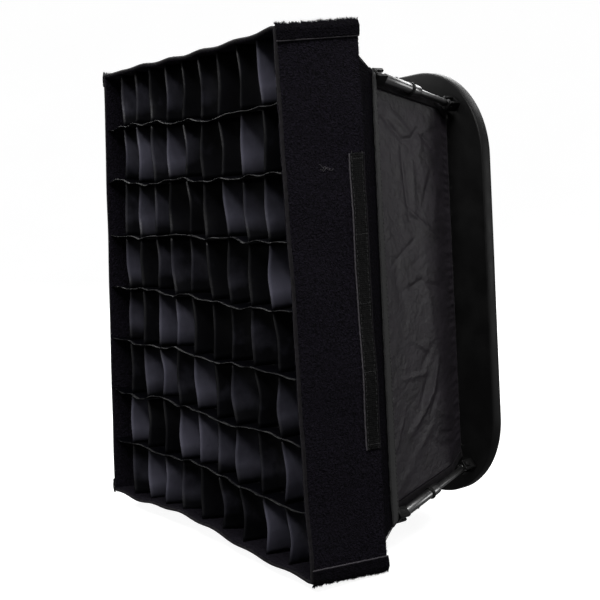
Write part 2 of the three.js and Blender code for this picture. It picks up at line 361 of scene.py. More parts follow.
def surface(
    name, dark, light, mottle, roughness, relief, cloth=False, painted_sheen_cells=None, spread=0.2, **fixed
):
    """A material whose colour and roughness vary between two values in patches of size mottle.
    A small spread makes the patches contrast more. A cell size gives each cell of that size a
    painted sheen of its own, and painted shade that darkens it towards the cell's ends. relief takes
    the tree and its coordinates (the cloth's own, if cloth), and returns a normal. fixed holds the
    shader's other sockets, with underscores for spaces."""
    made = bpy.data.materials.new(name)
    made.use_nodes = True
    tree = made.node_tree
    shader = tree.nodes["Principled BSDF"]
    if cloth:
        where = node(tree, "UVMap", uv_map=CLOTH_UV).outputs[0]
    else:
        where = node(tree, "TexCoord").outputs["Object"]
    field = noise(tree, where, mottle, 4.0)
    if painted_sheen_cells:
        # Painted sheen: each cell gets a random tone of its own.
        cell = node(tree, "VectorMath", {0: where, 1: painted_sheen_cells}, operation="SNAP").outputs[0]
        tone = node(tree, "TexWhiteNoise", {"Vector": cell}).outputs["Value"]
        tone = math_node(tree, "MULTIPLY", math_node(tree, "POWER", tone, 1.5), 1.15)
        field = node(tree, "Mix", {0: 0.58, 2: field, 3: tone}).outputs[0]
        # Painted shade: the tone darkens towards each cell's ends, where the crossing strips shade it.
        along = node(tree, "SeparateXYZ", {0: where}).outputs[0]
        from_edge = math_node(tree, "PINGPONG", along, painted_sheen_cells[0] / 2)
        field = math_node(tree, "MULTIPLY", field, remap(tree, from_edge, 0.3, 1, 0, painted_sheen_cells[0] / 3))
    patches = remap(tree, field, 0, 1, 0.5 - spread, 0.5 + spread)
    mix = node(tree, "Mix", {0: patches, 6: (*dark, 1), 7: (*light, 1)}, data_type="RGBA")
    tree.links.new(mix.outputs[2], shader.inputs["Base Color"])
    tree.links.new(remap(tree, patches, *roughness, 0, 1), shader.inputs["Roughness"])
    tree.links.new(relief(tree, where), shader.inputs["Normal"])
    for key, value in fixed.items():
        shader.inputs[key.replace("_", " ")].default_value = value
    return made


def grey(value, warm=0.0):
    """A near-neutral colour, warmer or purpler as warm grows."""
    return (value * (1 + warm), value, value * (1 + 1.4 * warm))


# Materials ------------------------------------------------------------------------------------


def plastic_material():
    """Moulded plastic with a fine spark-eroded grain."""

    def relief(tree, where):
        grain = noise(tree, where, 0.35 * MM, 3.0)
        waviness = noise(tree, where, 18 * MM, 2.0)
        return bump(tree, waviness, 0.25 * MM, 0.5, bump(tree, grain, 0.05 * MM, 0.8))

    return surface(
        "moulded_plastic", grey(0.0015), grey(0.003), 30 * MM, (0.42, 0.55), relief,
        Specular_IOR_Level=0.18,
    )


def ring_material():
    """The smoother, blacker plastic of the lock rings."""

    def relief(tree, where):
        return bump(tree, noise(tree, where, 0.3 * MM), 0.03 * MM, 0.6)

    return surface(
        "ring_plastic", grey(0.003), grey(0.006), 8 * MM, (0.4, 0.52), relief,
        Specular_IOR_Level=0.2,
    )


def rubber_material():
    """Matt black rubber with a dusty bloom."""

    def relief(tree, where):
        return bump(tree, noise(tree, where, 0.6 * MM, 4.0), 0.06 * MM)

    return surface(
        "gasket_rubber", grey(0.006), grey(0.013), 14 * MM, (0.75, 0.95), relief,
        Specular_IOR_Level=0.2,
    )


def metal_material():
    """Black-plated steel, drawn lengthwise, with fine lines and a little wear."""

    def relief(tree, where):
        lines = noise(tree, where, 0.5 * MM, 2.0, stretch=(1, 0.05, 1))
        return bump(tree, lines, 0.008 * MM, 0.3)

    return surface(
        "strut_metal", grey(0.18), grey(0.24), 9 * MM, (0.3, 0.38), relief, Metallic=1.0
    )


def nylon_material():
    """Coated nylon taffeta: a fine weave with a soft purplish sheen."""

    def relief(tree, where):
        threads = weave(tree, where, 0.45 * MM)
        crinkle = noise(tree, where, 7 * MM, 4.0)
        broad = noise(tree, where, 26 * MM, 3.0)
        creases = math_node(tree, "ABSOLUTE", math_node(tree, "SUBTRACT", broad, 0.5))
        near = bump(tree, crinkle, 0.5 * MM, 0.4, bump(tree, threads, 0.06 * MM, 0.6))
        return bump(tree, creases, 4.0 * MM, 0.5, near)

    return surface(
        "body_nylon", grey(0.010, 0.12), grey(0.016, 0.18), 22 * MM, (0.34, 0.46), relief, True,
        Specular_IOR_Level=0.25, Sheen_Weight=0.02, Sheen_Roughness=0.4,
        Sheen_Tint=(0.9, 0.82, 0.95, 1),
    )


def lining_material():
    """Aluminium-coated lining, slightly crinkled."""

    def relief(tree, where):
        crinkle = noise(tree, where, 5 * MM, 5.0)
        threads = weave(tree, where, 0.8 * MM)
        return bump(tree, crinkle, 0.8 * MM, 0.6, bump(tree, threads, 0.08 * MM, 0.7))

    return surface(
        "silver_lining", grey(0.5), grey(0.62), 12 * MM, (0.3, 0.42), relief, True, Metallic=0.85
    )


def grosgrain_material():
    """Ribbed hem tape, a shade lighter than the nylon."""

    def relief(tree, where):
        return bump(tree, ribs(tree, where, 0.9 * MM, "X"), 0.16 * MM, 0.8)

    return surface(
        "hem_grosgrain", grey(0.015), grey(0.022), 11 * MM, (0.5, 0.65), relief, True,
        Specular_IOR_Level=0.25, Sheen_Weight=0.05, Sheen_Roughness=0.5,
    )


def loop_material(name, shade):
    """Loop-pile fabric: a black velvety nap of tiny loops with lint-like flecks."""

    def relief(tree, where):
        loops = node(tree, "TexVoronoi", {"Vector": where, "Scale": 1 / (1.2 * MM)}).outputs[0]
        nap = noise(tree, where, 2.2 * MM, 5.0)
        return bump(tree, nap, 1.2 * MM, 0.8, bump(tree, loops, 1.0 * MM, 1.0))

    return surface(
        name, tuple(shade * c for c in (0.0004, 0.0003, 0.0006)),
        tuple(shade * c for c in (0.0086, 0.0072, 0.0115)), 1.7 * MM, (0.8, 1.0), relief, spread=0.15,
        Sheen_Weight=0.012 * shade, Sheen_Roughness=0.55, Sheen_Tint=(0.85, 0.78, 1, 1),
        Specular_IOR_Level=0.04,
    )


def hook_material():
    """Hook tape: rows of stiff little hooks on a woven ground."""

    def relief(tree, where):
        hooks = math_node(tree, "POWER", weave(tree, where, 1.5 * MM), 2.0)
        return bump(tree, hooks, 0.7 * MM, 0.9)

    return surface(
        "hook_tape", grey(0.0006), grey(0.005), 2.0 * MM, (0.4, 0.6), relief, True,
        Specular_IOR_Level=0.06,
    )


def selvedge_material():
    """The smooth woven edge of the loop fabric and of the tapes."""

    def relief(tree, where):
        return bump(tree, noise(tree, where, 0.8 * MM, 3.0, stretch=(1, 1, 3)), 0.2 * MM, 0.8)

    return surface(
        "woven_selvedge", grey(0.018, 0.1), grey(0.045, 0.1), 3 * MM, (0.55, 0.75), relief,
        Specular_IOR_Level=0.2, Sheen_Weight=0.05, Sheen_Roughness=0.5,
    )


def binding_material():
    """The bound front edge of the loop fabric: a smoother, slightly lighter black."""

    def relief(tree, where):
        return bump(tree, noise(tree, where, 1.0 * MM, 4.0), 0.35 * MM, 0.9)

    return surface(
        "edge_binding", grey(0.002, 0.1), grey(0.009, 0.15), 3 * MM, (0.6, 0.8), relief,
        Specular_IOR_Level=0.08, Sheen_Weight=0.02, Sheen_Roughness=0.5,
    )


def satin_material(name, brightest, shine):
    """The grid's strips: a dark blue-grey satin, with a painted sheen that differs from cell to cell
    and painted shade towards each cell's ends.
    """

    def relief(tree, where):
        floats = noise(tree, where, 0.5 * MM, 3.0, stretch=(0.2, 1, 1))
        ripple = noise(tree, where, 9 * MM, 3.0)
        return bump(tree, ripple, 0.8 * MM, 0.6, bump(tree, floats, 0.05 * MM, 0.6))

    return surface(
        name, (0.0012, 0.0012, 0.002), tuple(brightest * c for c in (0.92, 0.9, 1.2)), 24 * MM,
        (0.45, 0.3), relief, True, painted_sheen_cells=(ROW_PITCH, STRIP_STEP, 1), spread=0.24,
        Specular_IOR_Level=shine,
    )


def strip_edge_material(name, light, shine):
    """The cut and sealed edge of a satin strip, with painted highlights that make it lighter in places.
    """

    def relief(tree, where):
        return bump(tree, noise(tree, where, 0.7 * MM, 3.0), 0.2 * MM, 0.8)

    return surface(
        name, grey(0.0005), grey(light), 12 * MM, (0.6, 0.8), relief, spread=0.06,
        Specular_IOR_Level=shine,
    )


def diffusion_material():
    """White diffusion cloth that lets light through."""

    def relief(tree, where):
        return bump(tree, weave(tree, where, 0.7 * MM), 0.1 * MM, 0.7)

    return surface(
        "diffusion_cloth", grey(0.74), grey(0.8), 40 * MM, (0.7, 0.85), relief, True,
        Subsurface_Weight=0.15, Subsurface_Radius=(4 * MM, 4 * MM, 4 * MM),
    )


def thread_material(name, dark, light):
    """Bonded sewing thread."""

    def relief(tree, where):
        return bump(tree, noise(tree, where, 0.25 * MM, 2.0), 0.06 * MM, 0.8)

    return surface(
        name, grey(dark), grey(light), 2 * MM, (0.5, 0.7), relief, Specular_IOR_Level=0.2
    )


PLASTIC = plastic_material()
RING = ring_material()
RUBBER = rubber_material()
METAL = metal_material()
NYLON = nylon_material()
LINING = lining_material()
GROSGRAIN = grosgrain_material()
LOOP = loop_material("loop_pile", 0.86)
# A darker copy of the loop pile, as painted shade: for the lip under the skirt's edge and for the
# turnovers, whose turned nap catches less light.
LOOP_PAINTED_SHADE = loop_material("loop_pile_painted_shade", 0.45)
HOOK = hook_material()
SELVEDGE = selvedge_material()
BINDING = binding_material()
# The columns' satin, with its painted sheen and painted shade in each cell.
SATIN = satin_material("grid_satin", 0.068, 0.25)
# A darker copy of the satin for the rows: painted shade for their top faces, which the columns shade.
SATIN_ROW_PAINTED_SHADE = satin_material("grid_row_satin_painted_shade", 0.002, 0.04)
# A lighter copy of the strip edge: painted highlights in short runs along the rows' front edges.
STRIP_EDGE_PAINTED_HIGHLIGHT = strip_edge_material("strip_edge_worn", 0.04, 0.05)
STRIP_EDGE_DARK = strip_edge_material("strip_edge", 0.007, 0.02)
DIFFUSION = diffusion_material()
THREAD = thread_material("black_thread", 0.012, 0.03)
THREAD_WHITE = thread_material("white_thread", 0.5, 0.7)


# Cloth shapes ---------------------------------------------------------------------------------


def ease(value):
    """A smooth step from 0 to 1."""
    value = np.clip(value, 0, 1)
    return value * value * (3 - 2 * value)


def lerp(a, b, share):
    """A share of the way from a to b."""
    return a + (b - a) * share


def side_points(side, near, far, u, v):
    """Points on one side of a sleeve. u runs along the side from -1 to 1, v from near to far."""
    across, sign = SIDES[side]
    half_w, half_h, y = (lerp(a, b, v) for a, b in zip(near, far))
    points = np.zeros(np.broadcast(u, v).shape + (3,))
    reach, length = (half_w, half_h) if across == 0 else (half_h, half_w)
    points[..., across] = sign * reach
    points[..., 2 - across] = u * length
    points[..., 1] = y
    return points


def side_normal(side, near, far):
    """The outward normal of one side of a sleeve."""
    across, sign = SIDES[side]
    index = 0 if across == 0 else 1
    normal = np.zeros(3)
    normal[across] = sign * (far[2] - near[2])
    normal[1] = near[index] - far[index]
    return normal / np.linalg.norm(normal)


def side_length(side, end):
    """How long one side of a sleeve is at an end."""
    return 2 * (end[1] if SIDES[side][0] == 0 else end[0])


def slant(side, near, far):
    """How far it is along one side of a sleeve from near to far."""
    index = 0 if SIDES[side][0] == 0 else 1
    return math.hypot(far[2] - near[2], far[index] - near[index])


def faces_out(side):
    """Whether a side's grid of points needs its quads flipped to face outwards."""
    return side in ("right", "bottom")


def side_grid(side, near, far, along, back):
    """The u and v of a grid on one side, its points and its uv in metres."""
    u, v = np.meshgrid(np.linspace(-1, 1, along), np.linspace(0, 1, back))
    points = side_points(side, near, far, u, v)
    uv = np.stack([u * side_length(side, near) / 2, v * slant(side, near, far)], -1)
    return u, v, points, uv


def crease(a, b, start, end, width, height):
    """The height of one soft fold in cloth, from start to end, at points (a, b)."""
    (a0, b0), (a1, b1) = start, end
    run = np.array([a1 - a0, b1 - b0])
    length = np.linalg.norm(run)
    t = ((a - a0) * run[0] + (b - b0) * run[1]) / length**2
    near = np.clip(t, 0, 1)
    away = np.hypot(a - a0 - near * run[0], b - b0 - near * run[1])
    fade = 0.35 + 0.65 * np.sin(np.pi * np.clip(t, 0.05, 0.95))
    return height * np.exp(-((away / width) ** 2)) * fade


def random_creases(seed, half, depth, count, size):
    """Folds that fan out from a panel's corners, and count more from its seams, in metres."""
    rng = random.Random(seed)
    folds = []
    for end in (-1, 1):
        for _ in range(4):
            a = end * half * rng.uniform(0.75, 0.97)
            b = depth * rng.choice((0.08, 0.92))
            reach = rng.uniform(18, 60) * MM
            angle = rng.uniform(0.15, 1.0)
            away = 1 if b < depth / 2 else -1
            stop = (a - end * reach * math.cos(angle), b + away * reach * math.sin(angle) * 0.9)
            folds.append(((a, b), stop, rng.uniform(3, 7) * size * MM,
                          rng.uniform(-1.8, 1.6) * size * MM))
    for _ in range(count):
        a = rng.uniform(-0.8, 0.8) * half
        b = rng.uniform(0.1, 0.6) * depth
        stop = (a + rng.uniform(-22, 22) * MM, b + rng.uniform(15, 45) * MM)
        folds.append(((a, b), stop, rng.uniform(2.5, 6) * size * MM,
                      rng.uniform(-1.3, 1.2) * size * MM))
    return folds


# The right panel's folds: start, end (along the panel, back from the hem), width and height in mm.
RIGHT_FOLDS = [
    ((146, 15), (131, 38), 2.4, -1.3),
    ((152, 24), (139, 46), 3.4, 1.1),
    ((131, 38), (134, 50), 2.2, -1.0),
    ((134, 50), (143, 58), 2.2, -0.8),
    ((143, 58), (129, 78), 2.5, -1.3),
    ((136, 62), (122, 58), 4.5, 1.3),
    ((124, 36), (64, 44), 1.8, -1.2),
    ((118, 50), (70, 51), 3.8, 0.7),
    ((106, 73), (79, 63), 2.4, -1.0),
    ((96, 80), (60, 74), 3.8, 0.8),
    ((30, 20), (-20, 34), 5.2, -0.6),
    ((10, 62), (-44, 70), 4.5, 0.6),
    ((-62, 73), (-92, 62), 2.8, 1.5),
    ((-92, 62), (-105, 50), 2.8, 1.4),
    ((-105, 50), (-119, 30), 3.4, 1.2),
    ((-72, 60), (-102, 46), 3.3, -1.1),
    ((-92, 70), (-109, 59), 2.2, -1.0),
    ((-118, 62), (-140, 34), 3.8, 0.7),
    ((-131, 70), (-138, 90), 2.0, -0.9),
    ((-142, 78), (-151, 88), 2.0, -0.8),
    ((-146, 30), (-158, 8), 4.5, 0.6),
]


def seam_pucker(along, from_seam, seed, size):
    """The small gathers that a seam's thread pulls into the cloth beside it."""
    rng = random.Random(seed)
    waves = 0.0
    for _ in range(5):
        pitch = rng.uniform(7, 19) * MM
        waves = waves + np.sin(2 * math.pi * along / pitch + rng.uniform(0, 6.28))
    return size * waves / 5 * np.exp(-((from_seam / (9 * MM)) ** 2))


def panel_heights(side, u, v):
    """How far each point of a side panel stands out from the flat."""
    half = side_length(side, PANEL_FRONT) / 2
    depth = slant(side, PANEL_FRONT, PANEL_REAR)
    along, back = u * half, v * depth
    if side == "right":
        folds = [((a0 * MM, b0 * MM), (a1 * MM, b1 * MM), width * MM, height * MM)
                 for (a0, b0), (a1, b1), width, height in RIGHT_FOLDS]
        folds += random_creases("small folds", half, depth, 14, 0.6)
    else:
        folds = random_creases(f"panel {side}", half, depth, 9, 1.0)
    height = sum(crease(along, back, *fold) for fold in folds)
    height = height + seam_pucker(along, back, side + " hem", 0.9 * MM)
    height = height + seam_pucker(along, depth - back, side + " plate", 1.1 * MM)
    hollow = -2.2 * MM * (1 - u**2) * np.sin(np.pi * v)
    held = ease((1 - np.abs(u)) * half / (7 * MM)) * ease(v / 0.03) * ease((1 - v) / 0.03)
    return (height + hollow) * held


def tuck_in(points):
    """Draws the rear end of the body inwards, to where it is fixed round the lamp opening."""
    back = (points[..., 1] - PANEL_FRONT[2]) / (PANEL_REAR[2] - PANEL_FRONT[2])
    inwards = TUCK * ease((back - 0.78) / 0.22)
    moved = np.array(points)
    moved[..., 0] *= 1 - inwards / PANEL_REAR[0]
    moved[..., 2] *= 1 - inwards / PANEL_REAR[1]
    return moved


def with_hem_step(side, points, uv):
    """A panel's grid with the short step in front of it, from the hem inwards to the panel."""
    u, v = np.meshgrid(np.linspace(-1, 1, points.shape[1]), np.linspace(0, 1, 4)[:-1])
    width = slant(side, HEM, PANEL_FRONT)
    step_uv = np.stack([np.broadcast_to(uv[0, :, 0], u.shape), (v - 1) * width], -1)
    step = side_points(side, HEM, PANEL_FRONT, u, v)
    return np.concatenate([step, points]), np.concatenate([step_uv, uv])


def build_side_panel(side):
    """One tapered panel of the body: black nylon outside, silver lining inside."""
    along = 260 if side in ("left", "right") else 210
    u, v, points, uv = side_grid(side, PANEL_FRONT, PANEL_REAR, along, 76)
    normal = side_normal(side, PANEL_FRONT, PANEL_REAR)
    points = tuck_in(points + panel_heights(side, u, v)[..., None] * normal)
    points, uv = with_hem_step(side, points, uv)
    made = sheet_object(f"panel_{side}", points, uv, faces_out(side))
    thicken(made, 0.6 * MM, NYLON, LINING)
    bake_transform(made)
    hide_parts(f"side_panel_{side}")
    welts = [build_corner_welt(c) for c in CORNERS if c.startswith(side)]
    return made


def build_corner_welt(corner):
    """The turned-out seam where two side panels meet, which lies behind the strut. Its black binding is
    partly the seam's own colour and partly painted shade in the dark gap between strut and panel.
    """
    sx, sz = CORNERS[corner]
    v, w = np.meshgrid(np.linspace(0, 1, 60), np.linspace(0, 1, 7), indexing="ij")
    points = np.zeros(v.shape + (3,))
    points[..., 0] = sx * lerp(PANEL_FRONT[0], PANEL_REAR[0], v)
    points[..., 2] = sz * lerp(PANEL_FRONT[1], PANEL_REAR[1], v)
    points[..., 1] = lerp(PANEL_FRONT[2], PANEL_REAR[2], v)
    points = tuck_in(points)
    along = v * (PANEL_REAR[2] - PANEL_FRONT[2])
    wave = seam_pucker(along, 0 * w, corner, 0.8 * MM) * w
    points[..., 0] += sx * (0.12 * WELT_WIDTH * w + wave)
    points[..., 2] += sz * WELT_WIDTH * w
    uv = np.stack([along, w * WELT_WIDTH], -1)
    made = sheet_object(f"corner_welt_{corner}", points, uv)
    # The welt's black binding stands partly for the seam and partly for painted shade in the gap
    # between strut and panel.
    made.data.materials.append(BINDING)
    solid = made.modifiers.new("thickness", "SOLIDIFY")
    solid.thickness = 1.2 * MM
    solid.offset = 0
    applied(made)
    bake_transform(made)
    return made


# How far each corner of the soft grid hangs from its place, in mm, at its front and at its rear.
HANG = {
    "front": {(-1, 1): (5, 9, 12), (1, 1): (0, -1, 2), (1, -1): (0, 2, 4), (-1, -1): (-7, -9, 9)},
    "rear": {(-1, 1): (2, 2, 9), (1, 1): (1, 0, 9), (1, -1): (1, 1, -2), (-1, -1): (-2, -2, 0)},
}
# How far the front edge bows towards the middle, and where along it.
EDGE_BOW = {"top": (-3.0 * MM, 0.45), "bottom": (7.0 * MM, -0.1)}


def hang(points):
    """Where points of the soft grid really hang: a little out of square, with bowed edges."""
    half_w, half_h, front = SKIRT_FRONT
    right = np.clip(0.5 + points[..., 0] / (2 * half_w), -0.1, 1.1)
    top = np.clip(0.5 + points[..., 2] / (2 * half_h), -0.1, 1.1)
    back = np.clip((points[..., 1] - front) / (SKIRT_REAR[2] - front), 0, 1)
    moved = np.array(points, float)
    for place, weight in (("front", 1 - back), ("rear", back)):
        for (sx, sz), shift in HANG[place].items():
            share = weight * (right if sx > 0 else 1 - right) * (top if sz > 0 else 1 - top)
            moved += share[..., None] * np.array(shift) * MM
    for side, (bow, centre) in EDGE_BOW.items():
        near_edge = top if side == "top" else 1 - top
        across = 2 * right - 1
        bell = np.exp(-(((across - centre) / 0.55) ** 2)) * (1 - across**2)
        moved[..., 2] += bow * bell * near_edge**2 * (1 - 0.8 * back)
    return moved


def lip_bow(u, v):
    """How far the lip stands out between its seams: hollow in its middle, and curled out at its
    front edge. It stays straight at its ends, so that the corners meet."""
    hollow = -LIP_HOLLOW * np.sin(np.pi * np.clip(v, 0, 1) ** 0.7)
    flare = LIP_FLARE * (1 - ease(v / 0.12))
    return (hollow + flare) * (1 - u**12)


def build_rail(side):
    """One side of the bevelled lip that the grid's skirt slips over, on a spring band: the darker loop
    pile outside, as painted shade under the skirt's edge, and silver lining inside.
    """
    u, v, points, uv = side_grid(side, LIP, HEM, 150, 30)
    normal = side_normal(side, LIP, HEM)
    ripple = seam_pucker(u * LIP[1], (1 - v) * slant(side, LIP, HEM), side + " rail", 0.35 * MM)
    points = points + (lip_bow(u, v) + ripple)[..., None] * normal
    at_lip = (1 - ease(v / 0.35))[..., None]
    points = points + at_lip * (hang(points) - points)
    made = sheet_object(f"rail_{side}", points, uv, faces_out(side))
    # Painted shade: the lip's outside takes the darker loop pile, for the shade under the skirt's edge.
    thicken(made, 1.2 * MM, LOOP_PAINTED_SHADE, LINING)
    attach(made, "front_frame")
    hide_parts(f"front_rail_{side}")
    tape = build_hem_tape(side)
    return made


def build_hem_tape(side):
    """The ribbed tape over the seam of lip and panel, with two rows of stitches."""
    depth = slant(side, LIP, HEM)
    normal = side_normal(side, LIP, HEM)
    u, w = np.meshgrid(np.linspace(-0.995, 0.995, 180), np.linspace(0, 1, 9))
    upright = SIDES[side][0] == 0
    width = (7.5 - 2.5 * u * upright) * MM
    v = 1.01 - w * width / depth
    crown = 1.3 * MM + 0.5 * MM * np.sin(np.pi * w)
    wander = seam_pucker(u * LIP[1], w * 0, side + " tape", 0.5 * MM)
    points = side_points(side, LIP, HEM, u, v + wander / depth * w)
    points = points + (crown + lip_bow(u, v))[..., None] * normal
    uv = np.stack([u * side_length(side, HEM) / 2, w * width], -1)
    tape = sheet_object(f"hem_tape_{side}", points, uv, not faces_out(side))
    thicken(tape, 1.0 * MM, GROSGRAIN)
    up = Vector(normal)
    rows = [
        stitching(f"hem_stitches_{side}_{k}", points[k, 2:-2], up, THREAD) for k in (1, 7)
    ]
    made = joined(f"hem_tape_{side}", [tape, *rows])
    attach(made, "front_frame")
    return [made]


# The grid -------------------------------------------------------------------------------------


def pile_heights(seed, shape):
    """Uneven pile: a random height for each point, smoothed a little."""
    rng = np.random.default_rng(seed)
    rough = rng.uniform(-1, 1, shape)
    smooth = rough.copy()
    for axis in (0, 1):
        smooth = (np.roll(smooth, 1, axis) + 2 * smooth + np.roll(smooth, -1, axis)) / 4
    return 0.5 * rough + smooth


def slow_waves(seed, u, v, size):
    """The broad, shallow waves of a soft band."""
    rng = random.Random(seed)
    total = 0.0
    for _ in range(6):
        a, b = rng.uniform(1.5, 7), rng.uniform(0.4, 2.2)
        total = total + np.sin(a * np.pi * u + b * np.pi * v + rng.uniform(0, 6.28))
    return size * total / 3


def tufts(name, roots, outward, seed, material, length=1.1 * MM):
    """Loose fibres that stand out from the pile along an edge."""
    rng = random.Random(seed)
    verts, faces = [], []
    for root, out in zip(roots, outward):
        lean = Vector([rng.uniform(-1, 1) for _ in range(3)]) * 0.7
        tip = Vector(root) + (Vector(out) + lean).normalized() * length * rng.uniform(0.4, 1.3)
        wide = Vector([rng.uniform(-1, 1) for _ in range(3)]).normalized() * 0.16 * MM
        tall = Vector(out).cross(wide).normalized() * 0.16 * MM
        first = len(verts)
        verts += [Vector(root) + wide, Vector(root) - wide + tall, Vector(root) - wide - tall, tip]
        faces += [(first, first + 1, first + 3), (first + 1, first + 2, first + 3),
                  (first + 2, first, first + 3), (first, first + 2, first + 1)]
    made = new_object(name, verts, faces)
    made.data.materials.append(material)
    return made


def skirt_surface(side, u, v, proud=0.0, seed="skirt"):
    """Points on the outside of one skirt band, with its slow waves and its pile."""
    normal = side_normal(side, SKIRT_FRONT, SKIRT_REAR)
    held = ease((1 - np.abs(u)) / 0.04)
    lift = slow_waves(side + seed, u, v, 0.9 * MM) * held
    lift = lift + 0.24 * MM * pile_heights(len(side), u.shape) + proud
    points = side_points(side, SKIRT_FRONT, SKIRT_REAR, u, v)
    return hang(points + lift[..., None] * normal)


def rear_fuzz(side, normal):
    """Fibres that stand out along the cut rear edge of a skirt band."""
    rng = np.random.default_rng(7)
    count = 900
    along = rng.uniform(-1, 1, count)
    back = rng.choice([0.985, 0.995, 1.0], count)
    roots = skirt_surface(side, along[None, :], back[None, :])[0]
    outward = normal * 0.6 + np.array([0, 0.8, 0])
    return tufts(f"fuzz_{side}", roots, [outward] * count, side, LOOP)


def build_skirt(side):
    """One band of the grid's skirt, in loop-pile fabric, with a woven selvedge along its front."""
    length = side_length(side, SKIRT_FRONT)
    depth = slant(side, SKIRT_FRONT, SKIRT_REAR)
    u, v = np.meshgrid(np.linspace(-1, 1, int(length / MM) + 1), np.linspace(0, 1, 66))
    points = skirt_surface(side, u, v)
    uv = np.stack([u * length / 2, v * depth], -1)
    band = sheet_object(f"skirt_{side}", points, uv, faces_out(side))
    thicken(band, PILE_T, LOOP)
    normal = side_normal(side, SKIRT_FRONT, SKIRT_REAR)
    snags = build_snags(side, normal) if side == "right" else []
    made = joined(f"skirt_{side}", [band, rear_fuzz(side, normal), *snags])
    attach(made, "grid")
    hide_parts(f"grid_skirt_{side}")
    turnovers = [build_skirt_turnover(c) for c in CORNERS if c.startswith(side)]
    edging = build_selvedge(side)
    return made


def build_snags(side, normal):
    """A few loops of the pile that have been pulled out into short loose threads."""
    rng = random.Random("snags")
    snags = []
    for k in range(5):
        start = rng.uniform(0.42, 0.5)
        v = np.linspace(start, start + rng.uniform(0.05, 0.12), 12)[None, :]
        u = 0.5 + rng.uniform(-0.008, 0.008) + 0.006 * np.sin(v * rng.uniform(60, 120))
        arch = rng.uniform(0.2, 0.9) * MM * np.sin(np.linspace(0, math.pi, 12))
        path = skirt_surface(side, u, v)[0] + arch[:, None] * normal
        snags.append(bead(f"snag_{k}", path, 0.2 * MM, SELVEDGE, 5))
    return snags


def build_selvedge(side):
    """The smooth woven edge that wraps over the front of a skirt band."""
    normal = side_normal(side, SKIRT_FRONT, SKIRT_REAR)
    turn = np.linspace(0, 1, 9)
    out = np.interp(turn, [0, 0.35, 0.5, 0.65, 1], [0.15, 0.35, -0.9, -2.5, -2.5]) * MM
    back = np.interp(turn, [0, 0.35, 0.5, 0.65, 1], [1.5, 0.1, -0.5, 0.1, 1.5]) * MM
    u, t = np.meshgrid(np.linspace(-1, 1, 260), np.arange(9))
    points = side_points(side, SKIRT_FRONT, SKIRT_REAR, u, 0 * u)
    lift = slow_waves(side + "skirt", u, 0 * u, 0.9 * MM) * ease((1 - np.abs(u)) / 0.04)
    wander = 0.25 * MM * pile_heights(3, u.shape)
    points = points + (out[t] + lift + 0.3 * wander)[..., None] * normal
    points[..., 1] += back[t] + wander * (t == 0)
    uv = np.stack([u * side_length(side, SKIRT_FRONT) / 2, turn[t] * 8 * MM], -1)
    made = sheet_object(f"selvedge_{side}", hang(points), uv, not faces_out(side))
    thicken(made, 0.4 * MM, BINDING)
    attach(made, "grid")
    return made


def turnover_fuzz(corner, points):
    """The nap and the lint that stand out from a turnover, half of them along its fold."""
    sx, sz = CORNERS[corner]
    steps_back, steps_across = points.shape[:2]
    rng = np.random.default_rng(13)
    count = 2600
    across = rng.integers(0, steps_across, count) * rng.integers(0, 2, count)
    roots = points[rng.integers(0, steps_back, count), across]
    outward = [Vector((sx * min(k, 4), 0, sz * 1.5)) for k in across]
    split = count * 3 // 4
    # Painted shade: the nap takes the darker copy of the loop pile.
    nap = tufts(
        f"turnover_nap_{corner}", roots[:split], outward[:split], corner, LOOP_PAINTED_SHADE, 2.2 * MM
    )
    lint = tufts(
        f"turnover_lint_{corner}", roots[split:], outward[split:], corner, BINDING, 1.6 * MM
    )
    return [nap, lint]


def build_skirt_turnover(corner):
    """Where the top or bottom band turns over the end of a side band and is sewn down."""
    sx, sz = CORNERS[corner]
    side = "right" if sx > 0 else "left"
    height = TURNOVER_HEIGHT
    half = SKIRT_FRONT[1]
    w, v = np.meshgrid(np.linspace(0, 1, 13), np.linspace(0, 1, 66))
    u = sz * (1 - w * height / half)
    points = side_points(side, SKIRT_FRONT, SKIRT_REAR, u, v)
    fold = 1.5 * MM * np.minimum(1, 3.5 * w) * (1 - 0.35 * w)
    lift = fold + 0.3 * MM * pile_heights(11, u.shape) + 0.2 * MM
    over = sz * 0.7 * MM * (1 - ease(3 * w)) * (1 + pile_heights(5, u.shape))
    normal = side_normal(side, SKIRT_FRONT, SKIRT_REAR)
    points = points + lift[..., None] * normal
    points[..., 2] += over
    uv = np.stack([w * height, v * slant(side, SKIRT_FRONT, SKIRT_REAR)], -1)
    flap = sheet_object(f"turnover_{corner}", hang(points), uv, (sx > 0) != (sz < 0))
    # Painted shade: the flap takes the darker copy of the loop pile, for how its turned nap catches
    # less light.
    thicken(flap, 1.3 * MM, LOOP_PAINTED_SHADE)
    seam = hang(points[:, -1:] + (0.5 * MM * normal - np.array([0, 0, sz * 0.4 * MM])))[:, 0]
    cord = bead(f"turnover_seam_{corner}", seam, 0.55 * MM, SELVEDGE)
    made = joined(f"turnover_{corner}", [flap, cord, *turnover_fuzz(corner, hang(points))])
    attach(made, "grid")
    return made


